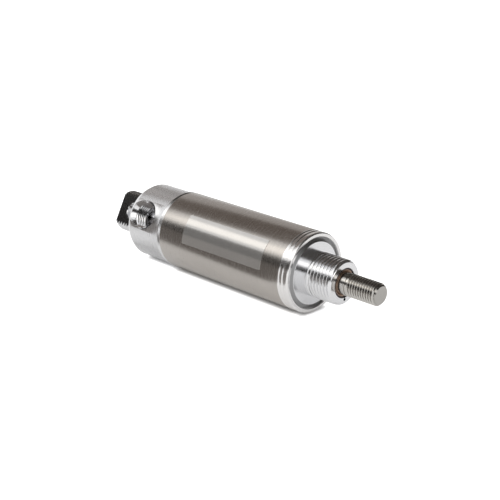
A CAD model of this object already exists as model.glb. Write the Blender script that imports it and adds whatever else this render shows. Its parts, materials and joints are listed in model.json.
import json
from math import ceil, cos, hypot, pi, radians, sin, tan

import bpy
from bpy.props import FloatProperty, FloatVectorProperty, IntProperty, PointerProperty
from bpy.types import Operator, Panel, PropertyGroup
from mathutils import Matrix, Vector


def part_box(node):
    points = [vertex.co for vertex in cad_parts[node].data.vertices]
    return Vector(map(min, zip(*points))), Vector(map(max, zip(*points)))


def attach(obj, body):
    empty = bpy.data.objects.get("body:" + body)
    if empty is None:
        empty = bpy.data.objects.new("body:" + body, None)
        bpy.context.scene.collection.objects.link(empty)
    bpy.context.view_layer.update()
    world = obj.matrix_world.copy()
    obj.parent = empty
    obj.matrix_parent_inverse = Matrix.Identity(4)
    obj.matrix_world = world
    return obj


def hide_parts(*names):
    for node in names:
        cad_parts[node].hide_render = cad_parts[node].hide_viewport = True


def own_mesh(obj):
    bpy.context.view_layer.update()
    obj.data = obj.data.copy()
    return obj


bl_info = {
    "name": "Pneumatic Cylinder",
    "version": (1, 0, 0),
    "blender": (4, 5, 0),
    "location": "3D Viewport > Sidebar > Cylinder",
    "description": "Builds the visible pieces of a small pneumatic cylinder on its packed frame",
    "category": "Object",
}

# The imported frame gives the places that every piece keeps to. The axis of the cylinder is X, the
# rod points towards +X, and x = 0 is the front head's flat face.
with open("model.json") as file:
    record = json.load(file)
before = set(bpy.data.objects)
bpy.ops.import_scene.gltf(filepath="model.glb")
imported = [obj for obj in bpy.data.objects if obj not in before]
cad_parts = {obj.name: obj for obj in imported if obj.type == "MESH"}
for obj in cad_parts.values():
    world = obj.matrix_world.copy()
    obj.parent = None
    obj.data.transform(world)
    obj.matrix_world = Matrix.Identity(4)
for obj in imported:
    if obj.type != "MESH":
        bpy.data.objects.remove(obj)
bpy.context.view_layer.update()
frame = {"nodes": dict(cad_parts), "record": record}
tube_low, tube_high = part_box("body_tube")
nose_low, nose_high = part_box("front_head")
rear_low, rear_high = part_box("rear_head")
rod_low, rod_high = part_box("piston_rod")
bushing_low, bushing_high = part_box("rod_bushing")
ring_low, ring_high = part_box("bushing_ring")
spring_low, spring_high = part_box("return_spring")
film_low, film_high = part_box("label_film")
piston_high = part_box("piston_front")[1]
mounts = {mount["name"]: mount for mount in frame["record"]["mounts"]}
port_direction = Vector(mounts["rear_port"]["axis"])
MM = 0.001


def length(name, description, default):
    """A size in metres that a user may change."""
    return FloatProperty(name=name, description=description, default=default, unit="LENGTH", precision=5)


def colour(name, description, default):
    """A colour that a user may change."""
    return FloatVectorProperty(
        name=name, description=description, default=default, subtype="COLOR", min=0, max=1
    )


def number(name, description, default, **kind):
    """A share, an angle or a strength that a user may change."""
    return FloatProperty(name=name, description=description, default=default, **kind)


class TubeSizes(PropertyGroup):
    radius: length("Radius", "Outer radius of the tube", tube_high.z)
    wall: length("Wall", "Thickness of the tube's wall", 0.8 * MM)
    seam: length("Seam", "Place of the tube's rear edge", tube_low.x)
    edge_bevel: length("Edge bevel", "Rounding of the rear edge", 0.5 * MM)
    lip_radius: length("Lip radius", "Inner radius of the turned-in front lip", 12.5 * MM)
    lip_setback: length("Lip setback", "How far the lip's bend stays behind the front face", 0.1 * MM)
    lip_bend: length("Lip bend", "Length of the lip's bend", 0.6 * MM)
    lip_edge: length("Lip edge", "Height of the slope at the lip's inner edge", 0.4 * MM)
    first_groove: length("First groove", "Place of the rolled groove nearer the front", -2.2 * MM)
    second_groove: length("Second groove", "Place of the rolled groove behind it", -3.8 * MM)
    groove_width: length("Groove width", "Width of a rolled groove", 0.9 * MM)
    groove_depth: length("Groove depth", "Depth of a rolled groove", 0.28 * MM)
    polish_start: length("Polish start", "Place where the polished front zone begins", -4.6 * MM)


class FrontHeadSizes(PropertyGroup):
    inner_face: length("Inner face", "Place of the head's face inside the tube", nose_low.x)
    radius: length("Radius", "Radius of the head inside the tube", nose_high.z)
    face_radius: length("Face radius", "Outer radius of the flat front face", 11.1 * MM)
    bevel: length("Bevel", "Length of the bevel under the tube's lip", 1.5 * MM)
    nose_end: length("Nose end", "Place of the nose's end face", nose_high.x)
    nose_radius: length("Nose radius", "Major radius of the nose thread", 7.9375 * MM)
    shank: length("Shank", "Smooth length between the face and the thread", 2.2 * MM)
    pitch: length("Thread pitch", "Pitch of the nose thread", 1.411 * MM)
    thread_depth: length("Thread depth", "Depth of the nose thread", 0.71 * MM)
    thread_top: number("Thread top", "Share of the pitch that the flat top of a tooth takes", 0.25)
    chamfer: length("Chamfer", "Chamfer at the nose's end", 0.8 * MM)
    bore_radius: length("Bore radius", "Radius of the hole for the bushing", 4.75 * MM)
    recess_radius: length("Recess radius", "Radius of the recess for the black ring", ring_high.z + 0.02 * MM)
    recess_depth: length("Recess depth", "Depth of the recess for the black ring", 1.2 * MM)
    vent_radius: length("Vent radius", "Radius of the breather hole", 0.55 * MM)
    vent_height: length("Vent height", "Height of the breather hole's centre", -5.9 * MM)


class RearHeadSizes(PropertyGroup):
    radius: length("Radius", "Radius of the visible head", 13.9 * MM)
    face: length("Rear face", "Place of the head's rear face", -82.9 * MM)
    chamfer_length: length("Chamfer length", "Length of the rear chamfer", 1.9 * MM)
    chamfer_height: length("Chamfer height", "Height of the rear chamfer", 1.0 * MM)
    rim_radius: length("Rim radius", "Radius of the narrow rim beside the tube's edge", 14.2 * MM)
    rim_chamfer: length("Rim chamfer", "Length of the rim's chamfer towards the tube", 0.95 * MM)
    spigot_face: length("Spigot face", "Place of the head's face inside the tube", rear_high.x)
    chamber_radius: length("Chamber radius", "Radius of the room for the piston's nut", 7.0 * MM)
    chamber_back: length("Chamber back", "Place of that room's rear wall", rod_low.x - 1.0 * MM)
    passage_radius: length("Passage radius", "Radius of the air passage", 3.0 * MM)
    port_place: length("Port place", "Place of the port along the axis", mounts["rear_port"]["pos_m"][0])
    port_radius: length("Port radius", "Major radius of the port's thread", 5.15 * MM)
    port_depth: length("Port depth", "Depth of the port's thread", 7.6 * MM)
    port_pitch: length("Port pitch", "Pitch of the port's thread", 0.941 * MM)
    port_mouth: length("Port mouth", "Radius of the countersink", 5.6 * MM)
    drill_radius: length("Drill radius", "Radius of the hole below the port's thread", 4.3 * MM)
    tang_end: length("Tang end", "Place of the tang's end", rear_low.x)
    tang_radius: length("Tang radius", "Major radius of the tang's thread", 7.9375 * MM)
    tang_pitch: length("Tang pitch", "Pitch of the tang's thread", 1.411 * MM)
    tang_depth: length("Tang thread depth", "Depth of the tang's thread", 0.86 * MM)
    tang_chamfer: length("Tang chamfer", "Chamfer at the tang's end", 0.8 * MM)
    tang_thickness: length("Tang thickness", "Distance across the tang's two flats", 9.5 * MM)
    pivot_place: length("Pivot place", "Place of the pivot hole", mounts["pivot_hole"]["pos_m"][0])
    pivot_radius: length("Pivot radius", "Radius of the pivot hole", 3.175 * MM)


class RodSizes(PropertyGroup):
    radius: length("Radius", "Radius of the rod", 3.97 * MM)
    end: length("End", "Place of the rod's front end at rest", rod_high.x)
    back: length("Back", "Place of the journal's rear end", rod_low.x)
    journal_radius: length("Journal radius", "Radius of the journal that carries the piston", 3.175 * MM)
    shoulder: length("Shoulder", "Place of the shoulder that the piston meets", piston_high.x)
    groove: length("Groove", "Place of the run-out groove behind the thread", 15.7 * MM)
    groove_width: length("Groove width", "Width of the run-out groove", 0.5 * MM)
    groove_depth: length("Groove depth", "Depth of the run-out groove", 0.35 * MM)
    pitch: length("Thread pitch", "Pitch of the rod's thread", 1.058 * MM)
    thread_depth: length("Thread depth", "Depth of the rod's thread", 0.64 * MM)
    chamfer: length("Chamfer", "Chamfer at the rod's end", 0.9 * MM)


class SpringSizes(PropertyGroup):
    wire_radius: length("Wire radius", "Radius of the spring's wire", 0.8 * MM)
    coil_radius: length("Coil radius", "Radius of the coil's middle line", 8.5 * MM)
    turns: IntProperty(name="Turns", description="Number of the spring's turns", default=7, min=2)


class LabelSizes(PropertyGroup):
    back: length("Back", "Place of the label's rear edge", film_low.x)
    front: length("Front", "Place of the label's front edge", film_high.x)
    radius: length("Radius", "Radius of the label's inner side", tube_high.z + 0.02 * MM)
    thickness: length("Thickness", "Thickness of the label's film", 0.1 * MM)
    half_angle: number("Half angle", "Half of the angle that the label covers", radians(22), subtype="ANGLE")


class Finishes(PropertyGroup):
    steel: colour("Tube steel", "Brushed stainless steel of the tube", (0.56, 0.53, 0.5))
    aluminium: colour("Aluminium", "Turned aluminium of the heads", (0.87, 0.872, 0.885))
    rod: colour("Rod steel", "Ground steel of the rod", (0.62, 0.6, 0.57))
    bronze: colour("Bronze", "Sintered bronze of the bushing", (0.64, 0.48, 0.39))
    black: colour("Black ring", "Black ring round the bushing", (0.03, 0.02, 0.02))
    film: colour("Film", "Silver film of the label", (0.62, 0.605, 0.585))
    rubber: colour("Rubber", "Seals and cushion", (0.03, 0.03, 0.03))
    wear: colour("Wear ring", "Filled plastic of the wear ring", (0.5, 0.42, 0.28))
    sleeve: colour("Sleeve", "Plastic of the stop sleeve", (0.85, 0.85, 0.82))
    spring: colour("Spring", "Drawn wire of the spring", (0.4, 0.39, 0.38))
    zinc: colour("Zinc", "Zinc-plated washer and nut", (0.68, 0.68, 0.66))


class StudioSettings(PropertyGroup):
    floor: colour("Floor", "Colour of the floor", (0.9, 0.9, 0.9))
    lamp: colour("Lamp", "Colour of the soft lamp", (1.0, 0.95, 0.87))
    side_card: colour("Side card", "Tone of the dark card beside the set", (0.035, 0.032, 0.03))
    low_card: colour("Low card", "Tone of the card low beside the set", (0.19, 0.175, 0.165))
    top_card: colour("Top card", "Tone of the card above the set", (0.17, 0.145, 0.13))
    back_card: colour("Back card", "Tone of the card behind the set", (0.5, 0.475, 0.46))
    front_card: colour("Front card", "Tone of the card above the rod's end", (0.065, 0.06, 0.055))
    daylight: number("Daylight", "Strength of the even light", 0.7, min=0)
    lamp_power: number("Lamp power", "Power of the soft lamp", 0.6, min=0, unit="POWER")
    lift: number("Lift", "How much the floor is lifted towards white", 0.85, min=0)
    glossy_lift: number("Glossy lift", "The same lift, in reflections", 0.17, min=0)
    lens: number("Lens", "Focal length of the camera", 87.7, unit="CAMERA")


class CylinderSettings(PropertyGroup):
    tube: PointerProperty(type=TubeSizes)
    front: PointerProperty(type=FrontHeadSizes)
    rear: PointerProperty(type=RearHeadSizes)
    rod: PointerProperty(type=RodSizes)
    spring: PointerProperty(type=SpringSizes)
    label: PointerProperty(type=LabelSizes)
    finishes: PointerProperty(type=Finishes)
    studio: PointerProperty(type=StudioSettings)


# Modelling

def start_fresh():
    """Leaves edit mode and deselects everything, so that an operator acts on new work alone."""
    if bpy.context.object and bpy.context.object.mode != "OBJECT":
        bpy.ops.object.mode_set(mode="OBJECT")
    bpy.ops.object.select_all(action="DESELECT")


def pick(piece):
    """Makes a piece the only selected object and the active one."""
    start_fresh()
    piece.select_set(True)
    bpy.context.view_layer.objects.active = piece
    return piece


def apply_modifier(piece, name, kind, **settings):
    """Adds one modifier with its settings and applies it."""
    pick(piece)
    modifier = piece.modifiers.new(name, kind)
    for setting, value in settings.items():
        setattr(modifier, setting, value)
    bpy.ops.object.modifier_apply(modifier=modifier.name)
    return piece


def turned(name, profile, bored=False, around=160):
    """Turns a piece round the X axis from its (place, radius) points.

    A solid piece starts and ends in a flat disc. A bored one has a closed profile, which comes
    back to its first point.
    """
    start_fresh()
    place, radius = profile[0]
    bpy.ops.mesh.primitive_circle_add(
        vertices=around,
        radius=radius,
        fill_type="NOTHING" if bored else "TRIFAN",
        location=(place, 0, 0),
        rotation=(0, pi / 2, 0),
    )
    piece = bpy.context.object
    piece.name = piece.data.name = name
    bpy.ops.object.transform_apply(location=True, rotation=True, scale=True)
    bpy.ops.object.mode_set(mode="EDIT")
    bpy.ops.mesh.select_all(action="SELECT")
    points = list(profile) + ([profile[0]] if bored else [])
    for (x0, r0), (x1, r1) in zip(points, points[1:]):
        bpy.ops.mesh.extrude_region_move(TRANSFORM_OT_translate={"value": (x1 - x0, 0, 0)})
        bpy.ops.transform.resize(value=(1, r1 / r0, r1 / r0), center_override=(x1, 0, 0))
    bpy.ops.mesh.select_all(action="SELECT")
    bpy.ops.mesh.remove_doubles(threshold=0.001 * MM)
    bpy.ops.mesh.normals_make_consistent(inside=False)
    bpy.ops.object.mode_set(mode="OBJECT")
    return piece


def wound_thread(name, root, tip, crest, pitch, depth, shank, chamfer, around=128, top=0.125):
    """A solid threaded bar from its root to its tip, with a smooth shank, a run-out and a chamfer.

    One tooth is drawn by extruding a point, the Screw modifier winds it right-handed, and both
    ends are cut square and closed. Top is the share of the pitch that the tooth's flat top takes.
    """
    gap = 0.167  # share of the pitch that the flat floor between two teeth takes
    flank = (1 - top - gap) / 2
    falling = [(top + flank * share, share) for share in (0, 0.33, 0.67, 1)]
    rising = [(1 - flank * share, share) for share in (1, 0.67, 0.33, 0)]
    tooth = [(0, 0)] + falling + rising
    low, high = min(root, tip), max(root, tip)
    turns = ceil((high - low) / pitch) + 3
    start_fresh()
    bpy.ops.mesh.primitive_plane_add(size=pitch, location=(low - 1.5 * pitch, 0, crest))
    piece = bpy.context.object
    piece.name = piece.data.name = name
    bpy.ops.object.transform_apply(location=True, rotation=True, scale=True)
    bpy.ops.object.mode_set(mode="EDIT")
    bpy.ops.mesh.select_all(action="SELECT")
    bpy.ops.mesh.merge(type="CENTER")
    for (x0, d0), (x1, d1) in zip(tooth, tooth[1:]):
        step = ((x1 - x0) * pitch, 0, (d0 - d1) * depth)
        bpy.ops.mesh.extrude_region_move(TRANSFORM_OT_translate={"value": step})
    bpy.ops.object.mode_set(mode="OBJECT")
    apply_modifier(
        piece, "Winding", "SCREW", axis="X", angle=2 * pi, screw_offset=pitch, iterations=turns,
        steps=around, render_steps=around, use_merge_vertices=True, merge_threshold=0.002 * MM,
    )
    bpy.ops.object.mode_set(mode="EDIT")
    for place, keep_front in ((low, True), (high, False)):
        bpy.ops.mesh.select_all(action="SELECT")
        bpy.ops.mesh.bisect(
            plane_co=(place, 0, 0), plane_no=(1, 0, 0), clear_inner=keep_front, clear_outer=not keep_front,
            threshold=0.0001 * MM,
        )
        bpy.ops.mesh.extrude_region_move(TRANSFORM_OT_translate={"value": (0, 0, 0)})
        bpy.ops.transform.resize(value=(1, 0, 0), center_override=(place, 0, 0))
        bpy.ops.mesh.merge(type="COLLAPSE")
    bpy.ops.mesh.select_all(action="SELECT")
    bpy.ops.mesh.remove_doubles(threshold=0.001 * MM)
    bpy.ops.mesh.normals_make_consistent(inside=False)
    bpy.ops.object.mode_set(mode="OBJECT")
    for vertex in piece.data.vertices:
        radius = hypot(vertex.co.y, vertex.co.z)
        if radius < crest / 2:
            continue
        along = abs(vertex.co.x - root)
        cut = min(max((along - shank) / pitch, 0), 1) * depth
        highest = crest - max(along - (high - low - chamfer), 0)
        wanted = min(max(radius, crest - cut), highest)
        vertex.co.yz *= wanted / radius
    return piece


def joined(name, *pieces):
    """Joins several closed shapes into one piece."""
    start_fresh()
    for piece in pieces:
        piece.select_set(True)
    bpy.context.view_layer.objects.active = pieces[0]
    bpy.ops.object.join()
    pieces[0].name = pieces[0].data.name = name
    return pieces[0]


def cut_away(piece, *cutters):
    """Takes each cutter's shape out of a piece and removes the cutter.

    Both are made of triangles first, because a face that isn't quite flat can leave the cut open.
    """
    for cutter in cutters:
        for shape in (piece, cutter):
            apply_modifier(shape, "Triangles", "TRIANGULATE")
        apply_modifier(piece, "Cut", "BOOLEAN", operation="DIFFERENCE", solver="EXACT", object=cutter)
        bpy.data.objects.remove(cutter)
    return piece


def cut_flat(piece, point, normal):
    """Mills a flat: cuts the piece on a plane, drops what lies beyond it and closes the cut."""
    pick(piece)
    bpy.ops.object.mode_set(mode="EDIT")
    bpy.ops.mesh.select_all(action="SELECT")
    bpy.ops.mesh.bisect(
        plane_co=point, plane_no=normal, clear_outer=True, use_fill=True, threshold=0.0001 * MM
    )
    bpy.ops.object.mode_set(mode="OBJECT")
    return piece


def stand_along(piece, direction, place):
    """Turns a piece that was made along X so that it stands along a direction from a place."""
    pick(piece)
    turn = Vector((1, 0, 0)).rotation_difference(direction).to_matrix().to_4x4()
    piece.matrix_world = Matrix.Translation(place) @ turn
    bpy.ops.object.transform_apply(location=True, rotation=True, scale=True)
    return piece


def finished(piece, body, material, nodes, edge=0.0, smooth=32):
    """Breaks a piece's sharp edges, shades it, gives it its finish and ties it to the frame."""
    if edge:
        apply_modifier(
            piece, "Broken edges", "BEVEL", width=edge, segments=2, limit_method="ANGLE",
            angle_limit=radians(28),
        )
    pick(piece)
    bpy.ops.object.shade_smooth_by_angle(angle=radians(smooth))
    piece.data.materials.clear()
    piece.data.materials.append(material)
    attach(piece, body)
    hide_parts(*nodes)
    return piece


# Finishes

class Field:
    """A value that varies over a surface. Arithmetic on fields adds Math nodes."""

    def __init__(self, finish, socket):
        self.finish = finish
        self.socket = socket

    def maths(self, operation, *values, held=False):
        return self.finish.node("Math", {"operation": operation, "use_clamp": held}, values)

    def __add__(self, other):
        return self.maths("ADD", self, other)

    def __sub__(self, other):
        return self.maths("SUBTRACT", self, other)

    def __rsub__(self, other):
        return self.maths("SUBTRACT", other, self)

    def __mul__(self, other):
        return self.maths("MULTIPLY", self, other)

    def __truediv__(self, other):
        return self.maths("DIVIDE", self, other)

    def __pow__(self, other):
        return self.maths("POWER", self, other)

    __radd__ = __add__

    def held(self):
        """The same value kept between 0 and 1."""
        return self.maths("ADD", self, 0, held=True)


class Finish:
    """A procedural material, built from object coordinates."""

    def __init__(self, name, **constants):
        self.material = bpy.data.materials.new(name)
        self.material.use_nodes = True
        self.tree = self.material.node_tree
        self.shader = self.tree.nodes["Principled BSDF"]
        for socket, value in constants.items():
            self.shader.inputs[socket.replace("_", " ").title().replace("Ior", "IOR")].default_value = value
        place = self.node("TexCoord", {}, {}, output="Object")
        self.x, self.y, self.z = (
            self.node("SeparateXYZ", {}, {"Vector": place}, output=axis) for axis in "XYZ"
        )
        self.radius = (self.y * self.y + self.z * self.z) ** 0.5

    def node(self, kind, settings, inputs, output=0):
        """Adds one node, sets it up, fills or links its sockets and returns one output as a field."""
        node = self.tree.nodes.new("ShaderNode" + kind)
        for setting, value in settings.items():
            setattr(node, setting, value)
        pairs = inputs.items() if isinstance(inputs, dict) else enumerate(inputs)
        for socket, value in pairs:
            if isinstance(value, Field):
                self.tree.links.new(value.socket, node.inputs[socket])
            else:
                node.inputs[socket].default_value = value
        return Field(self, node.outputs[output])

    def noise(self, x, y, z, detail=2.0, roughness=0.5):
        """Noise from 0 to 1 at a place that is given by three fields or numbers."""
        place = self.node("CombineXYZ", {}, (x, y, z))
        inputs = {"Vector": place, "Scale": 1.0, "Detail": detail, "Roughness": roughness}
        return self.node("TexNoise", {}, inputs)

    def step(self, value, edge, softness):
        """0 below an edge and 1 above it, with a soft change over the given width."""
        return ((value - edge) / softness + 0.5).held()

    def mix(self, factor, first, second):
        """A blend of two colours, each a colour or a field."""
        first, second = (tone if isinstance(tone, Field) else (*tone[:3], 1) for tone in (first, second))
        return self.node("Mix", {"data_type": "RGBA"}, {0: factor, 6: first, 7: second}, output=2)

    def feed(self, **values):
        """Links fields to sockets of the shader."""
        for socket, value in values.items():
            self.tree.links.new(value.socket, self.shader.inputs[socket.replace("_", " ")])
        return self

    def relief(self, height, depth):
        """Raises the surface by a field that goes from 0 to 1, up to a depth in metres."""
        bump = self.node("Bump", {}, {"Strength": 1.0, "Distance": depth, "Height": height}, output="Normal")
        return self.feed(Normal=bump)


def shade(colour_value, factor):
    """A colour made lighter or darker by a factor."""
    return tuple(min(channel * factor, 1) for channel in colour_value)


def tube_steel(settings):
    """Stainless steel, brushed round the tube and polished where the front is rolled."""
    finish = Finish("Tube steel", metallic=1.0)
    polished = finish.step(finish.x, settings.tube.polish_start, 0.25 * MM)
    fine = finish.noise(finish.x * 14000, finish.y * 240, finish.z * 240, detail=3.0)
    broad = finish.noise(finish.x * 1300, finish.y * 60, finish.z * 60, detail=2.0)
    cloud = finish.noise(finish.x * 90, finish.y * 160, finish.z * 160, detail=2.0)
    grain = fine * 0.86 + broad * 0.14
    steel = settings.finishes.steel
    streaks = (grain * 0.8 + cloud * 0.2 - 0.3) * 2.0
    brushed_colour = finish.mix(streaks, shade(steel, 0.86), shade(steel, 1.1))
    finish.feed(**{
        "Base_Color": finish.mix(polished, brushed_colour, (0.9, 0.89, 0.885)),
        "Roughness": (1 - polished) * (0.015 + grain * 0.06) + grain * 0.04 + 0.195,
    })
    return finish.relief(grain * (1 - polished * 0.92), 0.003 * MM).material


def turned_aluminium(settings, name, roughness=0.2, depth=0.002 * MM, dull=None, milled=None, bored=None):
    """Aluminium with the fine rings that the turning tool leaves on faces and round walls.

    Where dull, given as (least radius, least place, greatest place), the cut skin is grey and matt.
    Where milled, given as (distance from the axis, greatest place), the two flats are smooth and
    darker.
    Within the radius that bored gives, the walls of the holes are shinier than the outside.
    """
    finish = Finish(name, metallic=1.0)
    rings = finish.noise(finish.x * 9000, finish.radius * 9000, 0.0, detail=2.0)
    feed_marks = finish.noise(finish.x * 2600, finish.radius * 2600, 3.0, detail=1.0)
    cloud = finish.noise(finish.x * 140, finish.y * 140, finish.z * 140, detail=3.0)
    marks = rings * 0.6 + feed_marks * 0.4
    metal = settings.finishes.aluminium
    bright = finish.mix((marks * 0.7 + cloud * 0.3 - 0.25) * 2.0, shade(metal, 0.86), shade(metal, 1.06))
    rough = marks * 0.12 + cloud * 0.08 + (roughness - 0.08)
    if dull:
        outwards, back, front = dull
        skin = finish.step(finish.radius, outwards, 0.12 * MM) * finish.step(finish.x, back, 0.2 * MM)
        skin = skin * (1 - finish.step(finish.x, front, 0.1 * MM))
        bright = finish.mix(skin, bright, shade(metal, 0.4))
        rough = rough + skin * 0.2
    if bored:
        rough = rough - (1 - finish.step(finish.radius, bored, 0.3 * MM)) * 0.12
    if milled:
        distance, front = milled
        along = finish.y * port_direction.y + finish.z * port_direction.z
        flat = finish.step((along * along) ** 0.5, distance, 0.1 * MM)
        flat = flat * (1 - finish.step(finish.x, front, 0.1 * MM))
        bright = finish.mix(flat, bright, shade(metal, 0.45))
        rough = rough * (1 - flat) + flat * 0.14
        marks = marks * (1 - flat * 0.9)
    finish.feed(Base_Color=bright, Roughness=rough)
    return finish.relief(marks, depth).material


def ground_steel(settings):
    """Ground and polished steel of the rod, with traces of oil in its thread."""
    finish = Finish("Rod steel", metallic=1.0)
    grind = finish.noise(finish.x * 11000, finish.y * 500, finish.z * 500, detail=2.0)
    cloud = finish.noise(finish.x * 260, finish.y * 260, finish.z * 260, detail=3.0)
    hollow = 1 - finish.step(finish.radius, settings.rod.radius - 0.3 * MM, 0.25 * MM)
    steel = settings.finishes.rod
    oil = (hollow * 0.45 + cloud * 0.25).held()
    finish.feed(**{
        "Base_Color": finish.mix(oil, shade(steel, 1.05), shade(steel, 0.5)),
        "Roughness": grind * 0.1 + cloud * 0.08 + 0.1,
    })
    return finish.relief(grind, 0.0015 * MM).material


def sintered_bronze(settings):
    """Oil-filled sintered bronze: fine pores and a satin face."""
    finish = Finish("Sintered bronze", metallic=1.0)
    pores = finish.noise(finish.x * 7000, finish.y * 7000, finish.z * 7000, detail=3.0, roughness=0.7)
    cloud = finish.noise(finish.x * 700, finish.y * 700, finish.z * 700)
    bronze = settings.finishes.bronze
    speckle = (pores * 0.7 + cloud * 0.3 - 0.3) * 2.2
    finish.feed(**{
        "Base_Color": finish.mix(speckle, shade(bronze, 0.55), shade(bronze, 1.2)),
        "Roughness": pores * 0.2 + 0.26,
    })
    return finish.relief(pores, 0.01 * MM).material


def black_oxide(settings):
    """Black ring with faint worn spots."""
    finish = Finish("Black ring", metallic=0.4)
    worn = finish.noise(finish.x * 2500, finish.y * 2500, finish.z * 2500, detail=3.0)
    black = settings.finishes.black
    finish.feed(**{
        "Base_Color": finish.mix((worn - 0.45) * 2.0, black, shade(black, 2.6)),
        "Roughness": worn * 0.25 + 0.25,
    })
    return finish.relief(worn, 0.004 * MM).material


def silver_film(settings):
    """Bare silver film: a thin metallised sheet with a soft, slightly uneven gloss."""
    finish = Finish("Silver film", metallic=0.72)
    weave = finish.noise(finish.x * 1500, finish.y * 1500, finish.z * 1500, detail=3.0)
    cloud = finish.noise(finish.x * 120, finish.y * 200, finish.z * 200)
    film = settings.finishes.film
    uneven = (weave * 0.5 + cloud * 0.5 - 0.25) * 2.0
    finish.feed(**{
        "Base_Color": finish.mix(uneven, shade(film, 0.93), shade(film, 1.05)),
        "Roughness": weave * 0.06 + cloud * 0.06 + 0.1,
    })
    return finish.relief(weave, 0.0008 * MM).material


def drawn_wire(settings):
    """Drawn spring wire with fine marks along the coil."""
    finish = Finish("Spring steel", metallic=1.0)
    marks = finish.noise(finish.x * 500, finish.radius * 9000, 0.0)
    cloud = finish.noise(finish.x * 400, finish.y * 400, finish.z * 400)
    wire = settings.finishes.spring
    finish.feed(**{
        "Base_Color": finish.mix(marks * 0.6 + cloud * 0.4, shade(wire, 0.8), shade(wire, 1.2)),
        "Roughness": cloud * 0.2 + 0.22,
    })
    return finish.relief(marks, 0.003 * MM).material


def moulded(name, base, roughness, grain, depth):
    """Moulded rubber or plastic with a fine skin."""
    finish = Finish(name)
    skin = finish.noise(finish.x * grain, finish.y * grain, finish.z * grain, detail=3.0)
    finish.feed(**{
        "Base_Color": finish.mix(skin, shade(base, 0.85), shade(base, 1.15)),
        "Roughness": skin * 0.2 + (roughness - 0.1),
    })
    return finish.relief(skin, depth).material


def plated(name, base):
    """Zinc plating with a faint crystalline cloud."""
    finish = Finish(name, metallic=1.0)
    cloud = finish.noise(finish.x * 900, finish.y * 900, finish.z * 900, detail=3.0)
    finish.feed(**{
        "Base_Color": finish.mix(cloud, shade(base, 0.8), shade(base, 1.15)),
        "Roughness": cloud * 0.25 + 0.18,
    })
    return finish.relief(cloud, 0.003 * MM).material


# Pieces

class CylinderOperator:
    """What every piece's operator shares."""

    bl_options = {"REGISTER", "UNDO"}

    @property
    def settings(self):
        return bpy.context.scene.pneumatic_cylinder


class CYLINDER_OT_tube(CylinderOperator, Operator):
    """Thin steel tube with two rolled grooves and a lip turned in over the front head"""

    bl_idname = "cylinder.tube"
    bl_label = "Body Tube"

    def execute(self, context):
        s = self.settings.tube
        inside = s.radius - s.wall
        outline = [(s.seam, inside)]
        for share in (0, 0.35, 0.7, 1):
            angle = share * pi / 2
            place = s.seam + s.edge_bevel * (1 - cos(angle))
            outline.append((place, s.radius - s.edge_bevel * (1 - sin(angle))))
        round_floor = ((-0.5, 0), (-0.3, 0.55), (-0.12, 0.95), (0.12, 0.95), (0.3, 0.55), (0.5, 0))
        for groove in (s.second_groove, s.first_groove):
            for across, down in round_floor:
                outline.append((groove + across * s.groove_width, s.radius - down * s.groove_depth))
        bend_start = -s.lip_setback - s.lip_bend
        for share in (0, 0.2, 0.4, 0.6, 0.8, 1):
            angle = share * pi / 2
            outline.append((bend_start + s.lip_bend * sin(angle), s.radius - s.lip_bend * (1 - cos(angle))))
        bevel_rise = self.settings.front.radius - self.settings.front.face_radius
        reach = (inside - s.lip_radius) * self.settings.front.bevel / bevel_rise
        outline += [
            (-s.lip_setback, s.lip_radius + s.lip_edge),
            (reach - self.settings.front.bevel, s.lip_radius),
            (-self.settings.front.bevel, inside),
        ]
        tube = turned("tube", outline, bored=True, around=192)
        finished(tube, "housing", tube_steel(self.settings), ["body_tube"], edge=0.04 * MM)
        return {"FINISHED"}


class CYLINDER_OT_front_head(CylinderOperator, Operator):
    """Front head in the tube's mouth with its threaded nose"""

    bl_idname = "cylinder.front_head"
    bl_label = "Front Head"

    def execute(self, context):
        s = self.settings.front
        overlap, inset = 0.4 * MM, 0.5 * MM  # how far the plug reaches into the nose, and how far inside it
        plug = turned("plug", [
            (s.inner_face, s.bore_radius),
            (s.inner_face, s.radius),
            (-s.bevel - 0.02 * MM, s.radius),
            (0, s.face_radius),
            (0, s.nose_radius - inset),
            (overlap, s.nose_radius - inset),
            (overlap, s.bore_radius),
        ], bored=True)
        nose = wound_thread(
            "nose", 0, s.nose_end, s.nose_radius, s.pitch, s.thread_depth, s.shank, s.chamfer,
            top=s.thread_top,
        )
        deep = s.nose_end - s.recess_depth
        mouth = s.recess_radius + 0.22 * MM
        hole = turned("hole", [
            (-1 * MM, s.bore_radius),
            (deep, s.bore_radius),
            (deep, s.recess_radius),
            (s.nose_end - 0.12 * MM, s.recess_radius),
            (s.nose_end + 0.1 * MM, mouth),
            (s.nose_end + 1 * MM, mouth),
        ])
        vent = turned("vent", [(-1 * MM, s.vent_radius), (s.nose_end + 1 * MM, s.vent_radius)], around=24)
        vent.data.transform(Matrix.Translation((0, 0, s.vent_height)))
        cut_away(nose, hole, vent)
        head = joined("front_head_turned", plug, nose)
        skin = (s.face_radius + 0.1 * MM, -s.bevel - 0.2 * MM, 0.05 * MM)
        aluminium = turned_aluminium(self.settings, "Front head aluminium", 0.16, 0.0012 * MM, dull=skin)
        finished(head, "housing", aluminium, ["front_head"])
        return {"FINISHED"}


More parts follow.
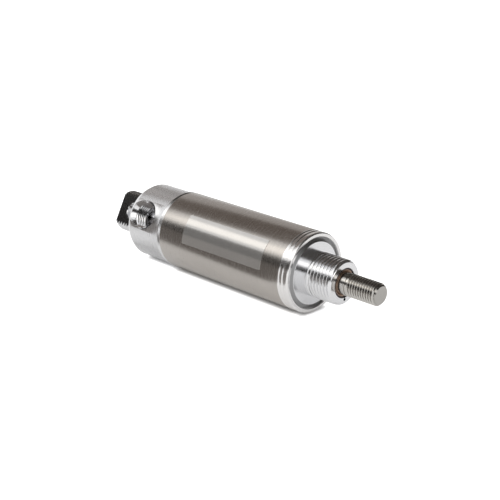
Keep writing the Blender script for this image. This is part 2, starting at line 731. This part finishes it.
class CYLINDER_OT_rear_head(CylinderOperator, Operator):
    """Rear head with the tapped port and the flatted, threaded tang"""

    bl_idname = "cylinder.rear_head"
    bl_label = "Rear Head"

    def execute(self, context):
        s = self.settings.rear
        inside = self.settings.front.radius
        seam = self.settings.tube.seam - 0.02 * MM
        seal_front, seal_back = s.spigot_face - 3.2 * MM, s.spigot_face - 5.4 * MM
        seal_floor = inside - 1.5 * MM
        rim_back = seam - s.rim_chamfer
        head = turned("rear_head_turned", [
            (s.chamber_back, s.chamber_radius),
            (s.spigot_face, s.chamber_radius),
            (s.spigot_face, inside - 0.3 * MM),
            (s.spigot_face - 0.3 * MM, inside),
            (seal_front, inside),
            (seal_front, seal_floor),
            (seal_back, seal_floor),
            (seal_back, inside),
            (seam, inside),
            (rim_back, s.rim_radius),
            (rim_back - 0.3 * MM, s.rim_radius),
            (rim_back - 0.8 * MM, s.radius),
            (s.face + s.chamfer_length, s.radius),
            (s.face, s.radius - s.chamfer_height),
        ])
        bottom, above = s.radius - s.port_depth, s.radius + 2 * MM
        drill = turned("drill", [(0, s.drill_radius), (s.radius, s.drill_radius)], around=64)
        tap = wound_thread("tap", bottom, above, s.port_radius, s.port_pitch, 0.55 * MM, 0, 0, around=96)
        drop = s.radius - (s.radius**2 - s.port_mouth**2) ** 0.5
        mouth_bottom = s.radius - drop - (s.port_mouth - s.port_radius)
        deep = 0.45 * MM  # how far the countersink goes on below its lower edge, inside the thread
        sink = turned("sink", [
            (mouth_bottom - deep, s.port_radius - deep),
            (s.radius - drop, s.port_mouth),
            (above, s.port_mouth + drop + 2 * MM),
        ], around=90)
        for cutter in (drill, tap, sink):
            stand_along(cutter, port_direction, (s.port_place, 0, 0))
        passage = turned("passage", [
            (s.port_place, s.passage_radius),
            (s.chamber_back + 1 * MM, s.passage_radius),
        ], around=48)
        cut_away(head, sink, drill, tap, passage)
        tang = wound_thread(
            "tang", s.face + 0.3 * MM, s.tang_end, s.tang_radius, s.tang_pitch, s.tang_depth, 0.6 * MM,
            s.tang_chamfer,
        )
        for side in (1, -1):
            cut_flat(tang, port_direction * side * s.tang_thickness / 2, port_direction * side)
        reach = s.tang_thickness / 2
        wide = s.pivot_radius + 1.25 * MM
        pin_hole = turned("pin_hole", [
            (-reach - 1 * MM, wide),
            (-reach + 0.25 * MM, s.pivot_radius),
            (reach - 0.25 * MM, s.pivot_radius),
            (reach + 1 * MM, wide),
        ], around=96)
        stand_along(pin_hole, port_direction, (s.pivot_place, 0, 0))
        cut_away(tang, pin_hole)
        head = joined("rear_head_turned", head, tang)
        flats = (reach - 0.15 * MM, s.face - 0.05 * MM)
        aluminium = turned_aluminium(
            self.settings, "Rear head aluminium", 0.25, 0.0015 * MM, milled=flats, bored=s.radius - 0.6 * MM
        )
        finished(head, "housing", aluminium, ["rear_head"])
        return {"FINISHED"}


class CYLINDER_OT_bearing(CylinderOperator, Operator):
    """Bronze bushing in the nose and the black ring that keeps it there"""

    bl_idname = "cylinder.bearing"
    bl_label = "Bushing and Ring"

    def execute(self, context):
        outer = bushing_high.z
        inner = self.settings.rod.radius + 0.05 * MM
        front, back = bushing_high.x, bushing_low.x
        bushing = turned("bushing", [
            (back, inner),
            (back, outer),
            (front - 0.12 * MM, outer),
            (front, outer - 0.12 * MM),
            (front, inner + 0.45 * MM),
            (front - 0.45 * MM, inner),
        ], bored=True, around=128)
        finished(bushing, "housing", sintered_bronze(self.settings), ["rod_bushing"])
        wall = self.settings.front.bore_radius
        ring = turned("nose_ring", [
            (ring_low.x, wall),
            (ring_low.x, ring_high.z),
            (ring_high.x - 0.1 * MM, ring_high.z),
            (ring_high.x, ring_high.z - 0.1 * MM),
            (ring_high.x, wall + 0.1 * MM),
            (ring_high.x - 0.1 * MM, wall),
        ], bored=True, around=128)
        finished(ring, "housing", black_oxide(self.settings), ["bushing_ring"])
        return {"FINISHED"}


class CYLINDER_OT_rod(CylinderOperator, Operator):
    """Ground piston rod with its journal, run-out groove and threaded end"""

    bl_idname = "cylinder.rod"
    bl_label = "Piston Rod"

    def execute(self, context):
        s = self.settings.rod
        neck = s.radius - s.groove_depth
        groove_end = s.groove + s.groove_width
        shaft = turned("shaft", [
            (s.back, s.journal_radius - 0.5 * MM),
            (s.back + 0.5 * MM, s.journal_radius),
            (s.shoulder, s.journal_radius),
            (s.shoulder, s.radius),
            (s.groove - 0.1 * MM, s.radius),
            (s.groove, s.radius - 0.1 * MM),
            (s.groove, neck),
            (groove_end + 0.3 * MM, neck),
        ], around=128)
        thread = wound_thread(
            "thread", groove_end, s.end, s.radius, s.pitch, s.thread_depth, 0, s.chamfer, around=112
        )
        rod = joined("rod", shaft, thread)
        finished(rod, "rod", ground_steel(self.settings), ["piston_rod"])
        return {"FINISHED"}


class CYLINDER_OT_spring(CylinderOperator, Operator):
    """Round-wire return spring with ground ends, which shortens as the rod moves out"""

    bl_idname = "cylinder.spring"
    bl_label = "Return Spring"

    def execute(self, context):
        s = self.settings.spring
        pitch = (spring_high.x - spring_low.x) / s.turns
        start_fresh()
        wire_centre = (spring_low.x, 0, s.coil_radius)
        bpy.ops.mesh.primitive_circle_add(
            vertices=16, radius=s.wire_radius, location=wire_centre, rotation=(pi / 2, 0, 0)
        )
        coil = bpy.context.object
        coil.name = coil.data.name = "coil_spring"
        bpy.ops.object.transform_apply(location=True, rotation=True, scale=True)
        apply_modifier(
            coil, "Winding", "SCREW", axis="X", angle=2 * pi, screw_offset=pitch, iterations=s.turns,
            steps=48, render_steps=48, use_merge_vertices=True, merge_threshold=0.002 * MM,
        )
        cut_flat(coil, (spring_low.x, 0, 0), (-1, 0, 0))
        cut_flat(coil, (spring_high.x, 0, 0), (1, 0, 0))
        bpy.ops.object.mode_set(mode="EDIT")
        bpy.ops.mesh.select_all(action="SELECT")
        bpy.ops.mesh.remove_doubles(threshold=0.001 * MM)
        bpy.ops.mesh.select_all(action="SELECT")
        bpy.ops.mesh.fill_holes(sides=0)
        bpy.ops.mesh.select_all(action="SELECT")
        bpy.ops.mesh.normals_make_consistent(inside=False)
        bpy.ops.object.mode_set(mode="OBJECT")
        finished(coil, "housing", drawn_wire(self.settings), ["return_spring"])
        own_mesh(coil)
        return {"FINISHED"}


class CYLINDER_OT_label(CylinderOperator, Operator):
    """Bare silver film, wrapped part of the way round the tube"""

    bl_idname = "cylinder.label"
    bl_label = "Label Film"

    def execute(self, context):
        s = self.settings.label
        middle = (s.back + s.front) / 2
        width = 2 * s.half_angle * s.radius
        start_fresh()
        bpy.ops.mesh.primitive_plane_add(size=1)
        film = bpy.context.object
        film.name = film.data.name = "film"
        film.scale = (s.front - s.back, width, 1)
        bpy.ops.object.transform_apply(location=True, rotation=True, scale=True)
        bpy.ops.object.mode_set(mode="EDIT")
        bpy.ops.mesh.select_all(action="SELECT")
        bpy.ops.mesh.bevel(offset=0.5 * MM, segments=4, affect="VERTICES")
        strips = 36
        for strip in range(1, strips):
            line = (0, width * (strip / strips - 0.5), 0)
            bpy.ops.mesh.select_all(action="SELECT")
            bpy.ops.mesh.bisect(plane_co=line, plane_no=(0, 1, 0), threshold=0.0001 * MM)
        bpy.ops.object.mode_set(mode="OBJECT")
        across = port_direction.cross(Vector((1, 0, 0)))
        for vertex in film.data.vertices:
            x, y, z = vertex.co
            angle = y / s.radius
            outwards = port_direction * cos(angle) + across * sin(angle)
            vertex.co = Vector((x + middle, 0, 0)) + s.radius * outwards
        apply_modifier(film, "Thickness", "SOLIDIFY", thickness=s.thickness, offset=0)
        pick(film)
        bpy.ops.object.mode_set(mode="EDIT")
        bpy.ops.mesh.select_all(action="SELECT")
        bpy.ops.mesh.normals_make_consistent(inside=False)
        bpy.ops.object.mode_set(mode="OBJECT")
        for vertex in film.data.vertices:
            vertex.co.yz *= 1 + s.thickness / 2 / s.radius
        finished(film, "housing", silver_film(self.settings), ["label_film"])
        return {"FINISHED"}


class CYLINDER_OT_inner_parts(CylinderOperator, Operator):
    """Finishes for the pieces inside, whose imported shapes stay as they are"""

    bl_idname = "cylinder.inner_parts"
    bl_label = "Inner Parts"

    def execute(self, context):
        colours = self.settings.finishes
        rubber = moulded("Rubber", colours.rubber, 0.6, 4000, 0.01 * MM)
        piston = turned_aluminium(self.settings, "Piston aluminium", 0.28)
        zinc = plated("Zinc plate", colours.zinc)
        looks = {
            "rear_head_seal": rubber,
            "rear_cushion": rubber,
            "piston_seal": rubber,
            "piston_wear_ring": moulded("Wear ring plastic", colours.wear, 0.5, 3000, 0.008 * MM),
            "stop_sleeve": moulded("Sleeve plastic", colours.sleeve, 0.42, 2500, 0.004 * MM),
            "piston_front": piston,
            "piston_rear": piston,
            "piston_washer": zinc,
            "piston_nut": zinc,
        }
        for node, material in looks.items():
            for slot in frame["nodes"][node].material_slots:
                slot.material = material
        return {"FINISHED"}


# Stage

class CYLINDER_OT_stage(CylinderOperator, Operator):
    """Pale floor, soft lamp, dark cards for the metal to reflect, and the camera"""

    bl_idname = "cylinder.stage"
    bl_label = "Stage"

    def card(self, name, tone, centre, size, facing):
        """Adds one plain card that only reflections see."""
        start_fresh()
        bpy.ops.mesh.primitive_plane_add(size=1, location=centre)
        card = bpy.context.object
        card.name = name
        card.scale = (*size, 1)
        card.rotation_euler = (Vector(facing) - Vector(centre)).to_track_quat("Z", "Y").to_euler()
        material = bpy.data.materials.new(name)
        material.use_nodes = True
        shader = material.node_tree.nodes["Principled BSDF"]
        shader.inputs["Base Color"].default_value = (0, 0, 0, 1)
        shader.inputs["Specular IOR Level"].default_value = 0
        shader.inputs["Emission Color"].default_value = (*tone, 1)
        shader.inputs["Emission Strength"].default_value = 1
        card.data.materials.append(material)
        card.visible_camera = card.visible_diffuse = card.visible_shadow = False
        return card

    def floor(self, settings, ground):
        """Adds the floor, which shows white to the camera and keeps the dark line under the tube."""
        start_fresh()
        bpy.ops.mesh.primitive_plane_add(size=4, location=(0, 0, ground))
        floor = bpy.context.object
        floor.name = "floor"
        finish = Finish("Floor", roughness=1.0, specular_ior_level=0.0)
        finish.shader.inputs["Base Color"].default_value = (*settings.floor, 1)
        finish.shader.inputs["Emission Color"].default_value = (1, 1, 1, 1)
        camera_ray = finish.node("LightPath", {}, {}, output="Is Camera Ray")
        glossy_ray = finish.node("LightPath", {}, {}, output="Is Glossy Ray")
        clear_ray = finish.node("LightPath", {}, {}, output="Is Transmission Ray")
        reach = 1.6 * MM  # how far from the tube the floor starts to lose its lift
        openness = finish.node("AmbientOcclusion", {"samples": 16}, {"Distance": reach}, output="AO")
        seen = camera_ray * settings.lift + (glossy_ray + clear_ray) * settings.glossy_lift
        finish.feed(Emission_Strength=seen * openness * openness)
        floor.data.materials.append(finish.material)

    def backdrop(self, settings):
        """White behind the object for the camera and in reflections, and even light for the rest."""
        world = bpy.data.worlds.new("Studio")
        bpy.context.scene.world = world
        world.use_nodes = True
        tree = world.node_tree
        background = tree.nodes["Background"]
        background.inputs["Color"].default_value = (1, 1, 1, 1)
        path = tree.nodes.new("ShaderNodeLightPath")
        total = path.outputs["Is Camera Ray"]
        for ray in ("Is Glossy Ray", "Is Transmission Ray"):
            adder = tree.nodes.new("ShaderNodeMath")
            adder.operation = "ADD"
            adder.use_clamp = True
            tree.links.new(total, adder.inputs[0])
            tree.links.new(path.outputs[ray], adder.inputs[1])
            total = adder.outputs[0]
        strength = tree.nodes.new("ShaderNodeMapRange")
        strength.inputs["To Min"].default_value = settings.daylight
        strength.inputs["To Max"].default_value = 1
        tree.links.new(total, strength.inputs["Value"])
        tree.links.new(strength.outputs["Result"], background.inputs["Strength"])

    def execute(self, context):
        s = self.settings.studio
        scene = context.scene
        ground = -self.settings.tube.radius
        self.floor(s, ground)
        self.backdrop(s)

        # The side card is the dark band below the highlight, and its skirt and the low card are
        # the dimmer band under that.
        side = -0.35
        card_foot, card_top = 0.068, 0.25
        middle, height = (card_foot + card_top) / 2, card_top - card_foot
        self.card("side_card", s.side_card, (-0.2, side, middle), (2.0, height), (-0.2, 0, middle))
        skirt, skirt_height = (card_foot + ground) / 2, card_foot - ground
        self.card("skirt_card", s.low_card, (-0.62, side, skirt), (1.1, skirt_height), (-0.62, 0, skirt))
        low = ground + 0.5 * MM
        self.card("low_card", s.low_card, (-0.52, -0.191, low), (1.0, 0.32), (-0.52, -0.191, 1))

        # The arch stands at one distance from the axis. Its top and back cards darken the upper
        # side of the tube, and its front card darkens what faces the rod's end. Each row gives a
        # card's name, its tone, its first and last angle in degrees, and its rear and front place.
        away = 0.7
        arch = (
            ("top_card", s.top_card, 76, 132, -1.7, -0.3),
            ("back_card", s.back_card, 132, 176, -1.7, -0.3),
            ("front_card", s.front_card, 77, 176, -0.3, 3.1),
        )
        for name, tone, first, last, rear, front in arch:
            angle, half = radians((first + last) / 2), radians((last - first) / 2)
            place = (rear + front) / 2
            centre = (place, -away * cos(angle), away * sin(angle))
            self.card(name, tone, centre, (front - rear, 2 * away * tan(half)), (place, 0, 0))

        lamp_data = bpy.data.lights.new("Soft lamp", "AREA")
        lamp_data.shape = "RECTANGLE"
        lamp_data.size = 1.6
        lamp_data.size_y = 0.15
        lamp_data.color = s.lamp
        lamp_data.energy = s.lamp_power
        lamp = bpy.data.objects.new("Soft lamp", lamp_data)
        scene.collection.objects.link(lamp)
        lamp.location = (-0.1, -0.304, 0.389)
        aim = Vector((-0.1, 0, 0)) - lamp.location
        lamp.rotation_euler = aim.to_track_quat("-Z", "Y").to_euler()

        camera_data = bpy.data.cameras.new("Camera")
        camera_data.lens = s.lens
        camera_data.sensor_width = 36
        camera_data.clip_start = 0.01
        camera = bpy.data.objects.new("Camera", camera_data)
        scene.collection.objects.link(camera)
        place = (0.25507, -0.29276, 0.15117)
        back = Vector((0.6561, -0.6709, 0.3456)).normalized()
        right = Vector((0, 0, 1)).cross(back).normalized()
        up = back.cross(right)
        rows = (*zip(right, up, back, place), (0, 0, 0, 1))
        camera.matrix_world = Matrix(rows)
        scene.camera = camera
        scene.view_settings.view_transform = "Standard"
        return {"FINISHED"}


class CYLINDER_PT_panel(Panel):
    """Lists the operators in the order in which they run"""

    bl_idname = "CYLINDER_PT_panel"
    bl_label = "Pneumatic Cylinder"
    bl_space_type = "VIEW_3D"
    bl_region_type = "UI"
    bl_category = "Cylinder"

    def draw(self, context):
        for operator in operators:
            self.layout.operator(operator.bl_idname)
        for group in ("tube", "front", "rear", "rod", "spring", "label", "finishes", "studio"):
            settings = getattr(context.scene.pneumatic_cylinder, group)
            box = self.layout.box()
            for name in settings.__annotations__:
                box.prop(settings, name)


operators = (
    CYLINDER_OT_tube,
    CYLINDER_OT_front_head,
    CYLINDER_OT_rear_head,
    CYLINDER_OT_bearing,
    CYLINDER_OT_rod,
    CYLINDER_OT_spring,
    CYLINDER_OT_label,
    CYLINDER_OT_inner_parts,
    CYLINDER_OT_stage,
)
groups = (
    TubeSizes,
    FrontHeadSizes,
    RearHeadSizes,
    RodSizes,
    SpringSizes,
    LabelSizes,
    Finishes,
    StudioSettings,
    CylinderSettings,
)


def register():
    for cls in (*groups, *operators, CYLINDER_PT_panel):
        bpy.utils.register_class(cls)
    bpy.types.Scene.pneumatic_cylinder = PointerProperty(type=CylinderSettings)


def unregister():
    del bpy.types.Scene.pneumatic_cylinder
    for cls in reversed((*groups, *operators, CYLINDER_PT_panel)):
        bpy.utils.unregister_class(cls)


def main():
    """Builds the whole cylinder and its stage, and notes the frame's size and the finished one."""
    register()
    for operator in operators:
        family, name = operator.bl_idname.split(".")
        getattr(getattr(bpy.ops, family), name)()


if __name__ == "__main__":
    main()
